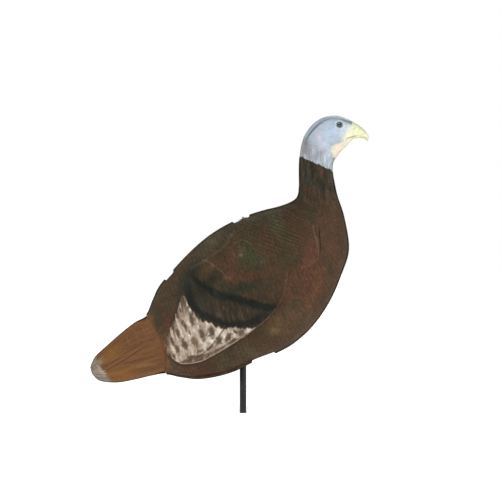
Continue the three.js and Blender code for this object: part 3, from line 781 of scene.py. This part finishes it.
def paint_head(x, z, points):
    paint = coat(x, (156, 165, 173))
    spray_patches(paint, x, z, HEAD_PATCHES)
    low = 1 - smooth(z + 0.45 * x, 550, 575)
    paint *= (1 + 0.16 * low * noise(points * [1, 1, 0.15], 2.2, 151))[..., None]

    gap, place = off_line(x, z, CROWN_STRIPE)
    dark = np.interp(place, [0, 0.12, 0.3, 0.45, 0.6, 0.8, 0.93, 1],
                     [0.3, 0.8, 0.9, 0.45, 0.25, 0.3, 0.6, 0.8])
    wide = np.interp(place, [0, 0.3, 0.6, 1], [1.8, 1.6, 2.6, 2.2])
    spray(paint, (70, 86, 98), soft(gap, wide) * dark)
    spray(paint, (132, 138, 146), soft(gap, 3) * smooth(place, 0.8, 1), 0.35)

    spray(paint, paint_beak(x, z), beak_mask(x, z))
    cream = coat(x, (212, 205, 186))
    spray_patches(cream, x, z, THROAT_PATCHES)
    throat = smooth(depth_inside(x, z, THROAT) + noise(points, 5, 155), -2.5, 3)
    spray(paint, cream, throat, 0.95)
    spray(paint, (110, 86, 72), blob(x, z, 173, 483, 1.3, 1.3), 0.8)
    # painted shadow along the lower edge of the moulded cheek
    spray(paint, (154, 166, 166), line_mask(x, z, CHEEK_SHADOW_EDGE, 1.9), 0.55)
    # the mouth's own dark line, with a painted shadow under the upper beak
    gap, place = off_line(x, z, MOUTH)
    shown = smooth(place, 0.1, 0.3) * (1 - smooth(place, 0.45, 0.7))
    spray(paint, (150, 140, 98), soft(gap, 1.2) * shown, 0.75)

    gap = from_eye(x, z)
    spray(paint, (158, 170, 182), soft(gap - 6.4, 0.8), 0.4)
    spray(paint, (208, 218, 228), soft(gap - 8.6, 1.4), 0.5)

    tooth = 2.2 * noise(np.stack([x, z * 0.1, points[..., 1] * 0.4], -1), 2.6, 161) - 0.8
    spray(paint, (56, 52, 42), 1 - smooth(z - height_at(x, RAGGED_EDGE), tooth - 0.7, tooth + 0.7), 0.95)
    grain = 0.045 * noise(points, 2.2, 171)
    return paint * (1 + grain + 0.035 * noise(points, 7, 173))[..., None]


def head_relief(x, z, points):
    lumps = fractal(points, 13, 181)
    height = 0.5 * lumps + 0.22 * noise(points, 4.5, 185)
    gap, place = off_line(x, z, CROWN_STRIPE)
    height -= 0.5 * soft(gap, 2.2) * (1 - smooth(place, 0.75, 1))
    height -= line_mask(x, z, MOUTH, 0.9) * (1 - smooth(x, 214, 226))
    height += (0.5 - 0.35 * lumps) * beak_mask(x, z)
    height -= 0.9 * blob(x, z, 212, 541, 1.1, 2.4, 50)
    height += 0.8 * soft(from_eye(x, z) - 7.4, 1.5)
    return height + 1.4 * blob(x, z, 166, 530, 13, 12) - 0.7 * blob(x, z, 176, 512, 10, 4, 70)


# ---- materials


def feed(made, inputs):
    """Links sockets to a node's inputs, and sets plain values on the others."""
    for key, value in inputs.items():
        if isinstance(value, bpy.types.NodeSocket):
            made.id_data.links.new(value, made.inputs[key])
        else:
            made.inputs[key].default_value = value


def node(tree, kind, inputs=None, **settings):
    made = tree.nodes.new(kind)
    for key, value in settings.items():
        setattr(made, key, value)
    feed(made, inputs or {})
    return made


def material(name):
    made = bpy.data.materials.new(name)
    made.use_nodes = True
    tree = made.node_tree
    coords = node(tree, "ShaderNodeTexCoord").outputs["Object"]
    return made, tree, tree.nodes["Principled BSDF"], coords


def noise_node(tree, coords, scale, detail=3.0):
    inputs = {"Vector": coords, "Scale": scale, "Detail": detail}
    return node(tree, "ShaderNodeTexNoise", inputs).outputs["Fac"]


def scaled(tree, value, low, high):
    """Takes noise, which seldom leaves 0.3 to 0.7, to the range from low to high."""
    inputs = {"Value": value, "From Min": 0.3, "From Max": 0.7, "To Min": low, "To Max": high}
    return node(tree, "ShaderNodeMapRange", inputs).outputs["Result"]


def maths(tree, operation, *values):
    return node(tree, "ShaderNodeMath", dict(enumerate(values)), operation=operation).outputs[0]


def bump(tree, height, strength, depth, **under):
    inputs = {"Height": height, "Strength": strength, "Distance": depth, **under}
    return node(tree, "ShaderNodeBump", inputs).outputs["Normal"]


def painted_foam(name, roughness, barb_depth):
    """Airbrushed foam: the paint and the feather lines come with the mesh, and the grain is made here."""
    made, tree, shader, coords = material(name)
    grain = noise_node(tree, coords, 900, 4)
    speck = noise_node(tree, coords, 2600, 2)
    value = maths(tree, "MULTIPLY", scaled(tree, grain, 0.94, 1.06), scaled(tree, speck, 0.95, 1.05))
    paint = node(tree, "ShaderNodeAttribute", attribute_name="paint").outputs["Color"]
    toned = node(tree, "ShaderNodeHueSaturation", {"Color": paint, "Value": value})
    phase = node(tree, "ShaderNodeAttribute", attribute_name="barb").outputs["Fac"]
    wander = maths(tree, "MULTIPLY", noise_node(tree, coords, 260), 3.0)
    barbs = maths(tree, "SINE", maths(tree, "ADD", phase, wander))
    feed(shader, {
        "Base Color": toned.outputs["Color"],
        "Roughness": scaled(tree, grain, roughness - 0.06, roughness + 0.08),
        "Normal": bump(tree, speck, 0.35, 0.0003, Normal=bump(tree, barbs, 0.7, barb_depth)),
        "Specular IOR Level": 0.1,
    })
    return made


def surface(name, colour, roughness, wear=None, wear_scale=160, grain=0.0001, metallic=0.0, ior=1.5):
    """A hard finish with uneven gloss, and a second colour where it is worn or dirty."""
    made, tree, shader, coords = material(name)
    fine = noise_node(tree, coords, 700, 5)
    mask = scaled(tree, noise_node(tree, coords, wear_scale, 6), -0.6, 1.0)
    clean, worn = ((*linear(rgb), 1) for rgb in (colour, wear or [c * 0.82 for c in colour]))
    mixed = node(tree, "ShaderNodeMix", {"Factor": mask, 6: clean, 7: worn}, data_type="RGBA")
    feed(shader, {
        "Base Color": mixed.outputs[2],
        "Roughness": scaled(tree, fine, roughness - 0.06, roughness + 0.1),
        "Normal": bump(tree, fine, 0.4, grain),
        "Metallic": metallic,
        "IOR": ior,
    })
    return made


body_finish = painted_foam("painted_body_foam", 0.78, 0.00022)
tail_finish = painted_foam("painted_tail_foam", 0.76, 0.00025)
head_finish = painted_foam("painted_head_foam", 0.62, 0.00004)
core_finish = surface("dark_foam", (43, 41, 38), 0.9, wear_scale=90, grain=0.0004)
eye_finish = surface("glass_black_eye", (14, 22, 27), 0.07, (10, 15, 19), wear_scale=60, grain=0.00001,
                     ior=1.8)
stake_finish = surface("black_stake_paint", (34, 35, 36), 0.3, (48, 48, 47), wear_scale=45, ior=1.3)
steel_finish = surface("turned_steel", (150, 152, 154), 0.3, (112, 108, 104), metallic=1.0)
nylon_finish = surface("black_nylon", (30, 31, 33), 0.5, (46, 47, 48))
brass_finish = surface("darkened_brass", (108, 90, 58), 0.38, (62, 52, 36), metallic=1.0)

# ---- meshes

RIDES_ON = {name: body for body, names in frame["record"]["behaviour"]["bodies"].items() for name in names}


def link(name, data):
    made = bpy.data.objects.new(name, data)
    bpy.context.collection.objects.link(made)
    return made


def new_object(name, points, faces, finish, replaced, sharp=50):
    """A smooth-shaded mesh in metres that stands for a CAD node."""
    mesh = bpy.data.meshes.new(name)
    mesh.from_pydata((np.asarray(points) * MM).tolist(), [], faces)
    mesh.materials.append(finish)
    made = link(name, mesh)
    mesh.shade_smooth()
    mesh.set_sharp_from_angle(angle=math.radians(sharp))
    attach(made, RIDES_ON[replaced])
    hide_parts(replaced)
    return made


def merge_doubles(made):
    bm = bmesh.new()
    bm.from_mesh(made.data)
    bmesh.ops.remove_doubles(bm, verts=bm.verts, dist=MERGE)
    bm.to_mesh(made.data)
    bm.free()


INNER_STEP = 3 # the inner face has one cell for this many of the outer face's
# Columns of the flange, out from the seam: the share of its height, and the distance from the middle plane.
FLANGE_COLUMNS = np.array([
    (1, 0), (1, FLANGE_THICKNESS / 2), (1, FLANGE_THICKNESS), (0.5, FLANGE_THICKNESS + 0.3),
])
FLANGE_ANGLE = 0.04 # where the first column of the skin beside the flange lies
SEAM_FADE = (0.05, 0.16) # angles from the seam between which the relief rises
END_FADE = 0.08 # stations from an end over which it rises
MERGE = 2e-6 # vertices closer than this become one, in metres


def half_grid(rows, columns, start, end):
    """Stations and angles of a half's outer face, with the flange's own columns at both edges."""
    edge = len(FLANGE_COLUMNS)
    sides = np.linspace(FLANGE_ANGLE, math.pi - FLANGE_ANGLE, columns - 2 * edge)
    angle = np.concatenate([[0] * edge, sides, [math.pi] * edge])
    skin = np.full((len(sides), 2), (0, FLANGE_THICKNESS))
    lift, outward = np.vstack([FLANGE_COLUMNS, skin, FLANGE_COLUMNS[::-1]]).T
    part = np.linspace(0, 1, rows)[:, None]
    u = start(angle) * (1 - part) + end(angle) * part
    return u, *(np.broadcast_to(line, u.shape) for line in (angle, lift, outward))


def outer_face(u, angle, lift, outward, inset):
    in_slot = slot_half_width(u) * (angle > 3) * (outward > 0) # the belly's flange stands beside the opening
    return skin_points(u, angle, inset, lift, outward + in_slot)


def outward_normals(points):
    """Unit normals of a grid of the left half, whose rows run forward and columns downward."""
    n = np.cross(np.gradient(points, axis=0), np.gradient(points, axis=1))
    return n / np.maximum(np.linalg.norm(n, axis=-1, keepdims=True), 1e-9)


def wall_faces(rows, columns):
    """Faces of a closed wall: outer vertices first, then the coarser inner ones."""
    step = INNER_STEP
    inner_rows, inner_columns = (rows - 1) // step + 1, (columns - 1) // step + 1
    outer = np.arange(rows * columns).reshape(rows, columns)
    inner = rows * columns + np.arange(inner_rows * inner_columns).reshape(inner_rows, inner_columns)

    def quads(grid, flip):
        corners = [grid[:-1, :-1], grid[1:, :-1], grid[1:, 1:], grid[:-1, 1:]]
        return np.stack(corners[::-1] if flip else corners, -1).reshape(-1, 4).tolist()

    def rim(edge, inner_edge, flip):
        faces = []
        for k in range(len(inner_edge) - 1):
            face = [*edge[k * step:(k + 1) * step + 1], inner_edge[k + 1], inner_edge[k]]
            faces.append([int(v) for v in (face[::-1] if flip else face)])
        return faces

    return (
        quads(outer, False) + quads(inner, True)
        + rim(outer[:, 0], inner[:, 0], True) + rim(outer[:, -1], inner[:, -1], False)
        + rim(outer[0], inner[0], False) + rim(outer[-1], inner[-1], True)
    )


def foam_half(name, side, grid, start, end, inset, decorate, finish, closed=None, bare_rim=True):
    """One half of the body, head or tail.

    decorate gives the relief, the paint and the barb phase. closed is the row that comes to a point, and how
    much further along the hollow does.
    """
    rows, columns = grid
    u, angle, lift, outward = half_grid(rows, columns, start, end)
    plain_face = outer_face(u, angle, lift, outward, inset)
    x, z = plain_face[..., 0], plain_face[..., 2]
    relief, paint, barb = decorate(u, angle, x, z, plain_face * [1, side, 1])
    off_seam = smooth(angle, *SEAM_FADE) * smooth(math.pi - angle, *SEAM_FADE)
    off_ends = smooth(u - u[0:1], 0, END_FADE) * smooth(u[-1:] - u, 0, END_FADE)
    outer = plain_face + outward_normals(plain_face) * (relief * off_seam * off_ends)[..., None]
    outer[..., 1] = np.maximum(outer[..., 1], SEAM_GAP)

    inner_u = u[::INNER_STEP, ::INNER_STEP]
    inner_angle = np.broadcast_to(np.linspace(0, math.pi, inner_u.shape[1]), inner_u.shape)
    inner = skin_points(inner_u, inner_angle, inset + SKIN)
    inner[:, [0, -1], 1] -= SEAM_LAP
    if closed is not None:
        row, deeper = closed
        outer[row] = seam_point(u[row, 0])
        inner[row] = seam_point(u[row, 0] + deeper)

    bare = np.zeros(u.shape)
    bare[:, [0, 1, 2, -3, -2, -1]] = 1 # the top of the flange
    spray(paint, BARE_FOAM, bare * bare_rim)
    points = np.vstack([outer.reshape(-1, 3), inner.reshape(-1, 3)]) * [1, side, 1]
    colours = np.vstack([paint.reshape(-1, 3), coat(inner_u, BARE_FOAM).reshape(-1, 3)])
    phase = np.concatenate([(barb * (1 - bare)).ravel(), np.zeros(inner_u.size)])
    faces = wall_faces(rows, columns)
    if side < 0:
        faces = [face[::-1] for face in faces] # mirrored
    made = new_object(name + "_foam", points, faces, finish, name)
    rgba = np.column_stack([linear(colours), np.ones(len(colours))])
    made.data.attributes.new("paint", "FLOAT_COLOR", "POINT").data.foreach_set("color", rgba.ravel())
    made.data.attributes.new("barb", "FLOAT", "POINT").data.foreach_set("value", phase)
    if closed is not None:
        merge_doubles(made)


def seam_point(u):
    """The middle of a section, on the left half's bonded face."""
    point = skin_points(np.array(float(u)), np.array(math.pi / 2))
    point[..., 1] = SEAM_GAP
    return point


TIP_BARBS, LONG_BARBS = 2.9, 3.2 # phase of the feathers' fine lines, in radians per millimetre
TAIL_BARBS = 40 # in radians per feather of the tail


def decorate_body(u, angle, x, z, points):
    tip_gap, number = feathers(u, angle, points)
    wing, deep = wing_relief(x, z)
    long = long_feathered(x, z, deep)
    relief = wing + body_relief(x, z, tip_gap, number, 1 - long, points)
    paint = paint_body(x, z, tip_gap, number, deep, 1 - long, points)
    barb = tip_gap * TIP_BARBS * (1 - long) + long_feathers(x, z) * LONG_BARBS * long
    return relief, paint, barb


def decorate_tail(u, angle, x, z, points):
    barb = tail_feathers(u, angle) * TAIL_BARBS
    return tail_relief(u, angle, points), paint_tail(x, z, u, angle, points), barb


def decorate_head(u, angle, x, z, points):
    return head_relief(x, z, points), paint_head(x, z, points), 0 * x


def tail_joint(angle):
    return TAIL_JOINT + RUMP_BULGE * np.sin(angle) ** 2


def flat_end(u):
    return lambda angle: u + 0 * angle


JOINT_GAP = 0.4 / 30 # 0.4 mm, in stations of about 30 mm
SHELL_GRID, TAIL_GRID, HEAD_GRID = (439, 187), (151, 121), (190, 121) # rows and columns
CLOSED_DEPTH = 0.35 # from a closed end to where its hollow ends, in stations
for half, side in HALVES:
    foam_half("shell_" + half, side, SHELL_GRID, tail_joint, flat_end(NECK_JOINT), 0,
              decorate_body, body_finish)
    foam_half("tail_" + half, side, TAIL_GRID, flat_end(0), lambda angle: tail_joint(angle) - JOINT_GAP, 2.5,
              decorate_tail, tail_finish, closed=(0, CLOSED_DEPTH))
    foam_half("head_" + half, side, HEAD_GRID, flat_end(NECK_JOINT + 1.5 * JOINT_GAP), flat_end(BEAK_TIP),
              0.5, decorate_head, head_finish, closed=(-1, -CLOSED_DEPTH), bare_rim=False)

# ---- turned pieces


def softened(profile, radius=0.4, steps=3):
    """Rounds the corners of a closed profile of (radius, height), but not those on the axis."""
    made = []
    for i, point in enumerate(profile):
        here = np.array(point, float)
        if here[0] < 1e-6:
            made.append(here)
            continue
        ends = []
        for k in (i - 1, i + 1):
            way = np.array(profile[k % len(profile)], float) - here
            length = np.linalg.norm(way)
            ends.append(here + way / length * min(radius, length * 0.45))
        for t in np.linspace(0, 1, steps + 1):
            made.append((1 - t) ** 2 * ends[0] + 2 * t * (1 - t) * here + t * t * ends[1])
    return made


def ring(bore, radius, low, high):
    """The profile of a plain tube."""
    return [(bore, low), (radius, low), (radius, high), (bore, high)]


def lathe(name, profile, finish, replaced, place=Matrix(), segments=72):
    """A turned piece from a closed profile of (radius, height) about Z, moved to its place."""
    turn = np.linspace(0, 2 * math.pi, segments, endpoint=False)
    n = len(profile)
    points = [(r * math.cos(t), r * math.sin(t), h) for t in turn for r, h in profile]
    faces = []
    for s in range(segments):
        here, there = s * n, (s + 1) % segments * n
        for k in range(n):
            after = (k + 1) % n
            if profile[k][0] > 1e-6 or profile[after][0] > 1e-6:
                faces.append([here + k, there + k, there + after, here + after])
    made = new_object(name, points, faces, finish, replaced, sharp=40)
    merge_doubles(made)
    made.data.transform(place)


def spans(node_name):
    """Lowest and highest height and the radius of a CAD node on the stake's axis, in millimetres."""
    low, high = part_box(node_name)
    return low.z / MM, high.z / MM, (high.x - low.x) / 2 / MM


TUBE_WALL = 1.0
SPIGOT_TAPER, SPIGOT_LEAD = 1.5, 3 # how much narrower the spigot's end is, and over what length
POINT_TIP, POINT_SHANK = 0.8, 20 # the tip's radius, and the length of the shank in the tube


def add_stake():
    _, _, radius = spans("stake_lower_tube")
    for name in ("stake_lower_tube", "stake_upper_tube"):
        low, high, _ = spans(name)
        profile = ring(radius - TUBE_WALL, radius, low, high)
        lathe(name + "_drawn", softened(profile, 0.35), stake_finish, name)
    low, high, shank = spans("stake_spigot")
    profile = [(0, low), (shank, low), (shank, high - SPIGOT_LEAD), (shank - SPIGOT_TAPER, high), (0, high)]
    lathe("spigot_turned", softened(profile), steel_finish, "stake_spigot")
    low, high, radius = spans("stake_point")
    base = high - POINT_SHANK
    profile = [(0, low), (POINT_TIP, low), (radius, base), (shank, base), (shank, high), (0, high)]
    lathe("point_turned", softened(profile), steel_finish, "stake_point")


CAP_WALL_GAP = 1.2 # from the tube's outside to the cap's shank in it
CAP_HEAD_GAP = 0.3 # from the tube's top to the cap's head
PIN_CLEARANCE = 0.35 # around the pin, in the washer
PIN_DOME = ((1, 1.4), (0.8, 0.5), (0.45, 0)) # share of the pin's radius, and how far below its top


def add_pivot():
    foot, top, pin_radius = spans("pivot_pin")
    low, high, radius = spans("stake_cap")
    _, tube_top, tube_radius = spans("stake_upper_tube")
    shank = tube_radius - CAP_WALL_GAP
    head = tube_top + CAP_HEAD_GAP
    socket, floor = pin_radius + 0.1, foot - 0.2
    profile = [(0, low), (shank, low), (shank, head), (radius, head), (radius, high - 1),
               (tube_radius + 0.2, high), (socket, high), (socket, floor), (0, floor)]
    lathe("cap_moulded", softened(profile, 0.25), nylon_finish, "stake_cap")

    dome = [(pin_radius * share, top - below) for share, below in PIN_DOME]
    profile = [(0, foot), (pin_radius, foot), *dome, (0, top)]
    lathe("pin_turned", softened(profile, 0.3), steel_finish, "pivot_pin", segments=48)

    low, high, radius = spans("thrust_washer")
    profile = ring(pin_radius + PIN_CLEARANCE, radius, low, high)
    lathe("washer_stamped", softened(profile, 0.3), nylon_finish, "thrust_washer")


EYELET_AT, EYELET_REACH = 12, 0.2 # its station, and how far on each side of it the back's slope is taken


def add_eyelet():
    behind, foot, ahead = (
        skin_points(np.array(float(EYELET_AT + step)), np.array(0.0))
        for step in (-EYELET_REACH, 0, EYELET_REACH)
    )
    slope = math.atan2(ahead[2] - behind[2], ahead[0] - behind[0])
    centre_z = foot[2] - foot[0] * math.tan(slope)
    bore, barrel, flange, depth, gap = 5.0, 5.8, 8.5, 5.6, 0.4
    profile = [(bore, -depth), (barrel, -depth), (barrel, gap), (flange, gap), (flange - 0.3, gap + 0.7),
               (flange - 1.6, gap + 1.1), (bore + 0.6, gap + 1.0), (bore, gap + 0.4)]
    place = Matrix.Translation((0, 0, centre_z * MM)) @ Matrix.Rotation(-slope, 4, "Y")
    lathe("eyelet_rolled", softened(profile, 0.25), brass_finish, "back_eyelet", place)


EYE_FLANGE, EYE_DOME = 1, 2.8 # thickness of the eye's rim, and height of its dome
EYE_STEP = 0.6 # from the rim to the dome


def add_eyes():
    for half, side in HALVES:
        low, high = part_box("eye_" + half)
        radius = (high.x - low.x) / 2 / MM
        depth = (high.y - low.y) / MM
        profile = [(0, 0), (radius, 0), (radius, EYE_FLANGE), (radius - EYE_STEP, EYE_FLANGE + EYE_STEP)]
        for t in np.linspace(0, math.pi / 2, 10):
            profile.append(((radius - EYE_STEP) * math.cos(t), depth - EYE_DOME * (1 - math.sin(t))))
        centre = Vector(((low.x + high.x) / 2, low.y if side > 0 else high.y, (low.z + high.z) / 2))
        place = Matrix.Translation(centre) @ Matrix.Rotation(-side * math.pi / 2, 4, "X")
        lathe("eye_" + half + "_domed", profile, eye_finish, "eye_" + half, place, segments=48)


add_stake()
add_pivot()
add_eyelet()
add_eyes()

for name, finish in (("neck_core", core_finish), ("tail_core", core_finish), ("pivot_block", nylon_finish),
                     ("spigot_rivet", steel_finish)):
    carried = frame["nodes"][name]
    carried.data.materials.clear()
    carried.data.materials.append(finish)

# ---- floor, light and camera

WORLD_GLOW = 0.41 # what lights the object; the camera sees the backdrop as plain white
FLOOR_GLOW = 0.5
TARGET = Vector((0, 0, 0.3)) # of the two soft boxes


def add_floor():
    bpy.ops.mesh.primitive_circle_add(vertices=96, radius=40, fill_type="NGON", location=(0, 0, 0))
    floor = bpy.context.object
    floor.name = "floor"
    made, tree, shader, coords = material("white_sweep")
    tone = scaled(tree, noise_node(tree, coords, 3), 0.88, 0.9)
    feed(shader, {
        "Base Color": node(tree, "ShaderNodeCombineColor", {0: tone, 1: tone, 2: tone}).outputs[0],
        "Roughness": 0.9,
        "Emission Color": (1, 1, 1, 1),
        "Emission Strength": FLOOR_GLOW,
    })
    floor.data.materials.append(made)


def add_lamp(name, kind, power, aim, place=(0, 0, 0), **settings):
    light = bpy.data.lights.new(name, kind)
    light.energy = power
    for key, value in settings.items():
        setattr(light, key, value)
    lamp = link(name, light)
    lamp.location = place
    lamp.rotation_euler = aim.to_track_quat("-Z", "Y").to_euler()


def add_light():
    world = bpy.data.worlds.new("studio")
    world.use_nodes = True
    tree = world.node_tree
    seen = node(tree, "ShaderNodeLightPath").outputs["Is Camera Ray"]
    inputs = {"Value": seen, "To Min": WORLD_GLOW, "To Max": 1.0}
    strength = node(tree, "ShaderNodeMapRange", inputs).outputs["Result"]
    feed(tree.nodes["Background"], {"Color": (1, 1, 1, 1), "Strength": strength})
    bpy.context.scene.world = world
    add_lamp("key", "SUN", 1.45, Vector((0.25, 1, -0.9)), angle=math.radians(30))
    add_lamp("back", "SUN", 0.8, Vector((-0.3, -1, -0.8)), angle=math.radians(40))
    for name, x in (("left_box", -1.6), ("right_box", 1.6)):
        place = Vector((x, -0.5, 0.5))
        add_lamp(name, "AREA", 9, TARGET - place, place, shape="RECTANGLE", size=0.4, size_y=1.6)


VIEW_WIDTH = 0.9538 # of the picture, at the bird's middle plane
VIEW_CENTRE = (0.0152, 0.3316)
VIEW_DISTANCE = 10
SENSOR = 36


def add_camera():
    data = bpy.data.cameras.new("camera")
    data.sensor_width = SENSOR
    data.lens = SENSOR * VIEW_DISTANCE / VIEW_WIDTH
    camera = link("camera", data)
    camera.location = (VIEW_CENTRE[0], -VIEW_DISTANCE, VIEW_CENTRE[1])
    camera.rotation_euler = (math.pi / 2, 0, 0)
    bpy.context.scene.camera = camera


add_floor()
add_light()
add_camera()
bpy.context.scene.view_settings.view_transform = "Standard"
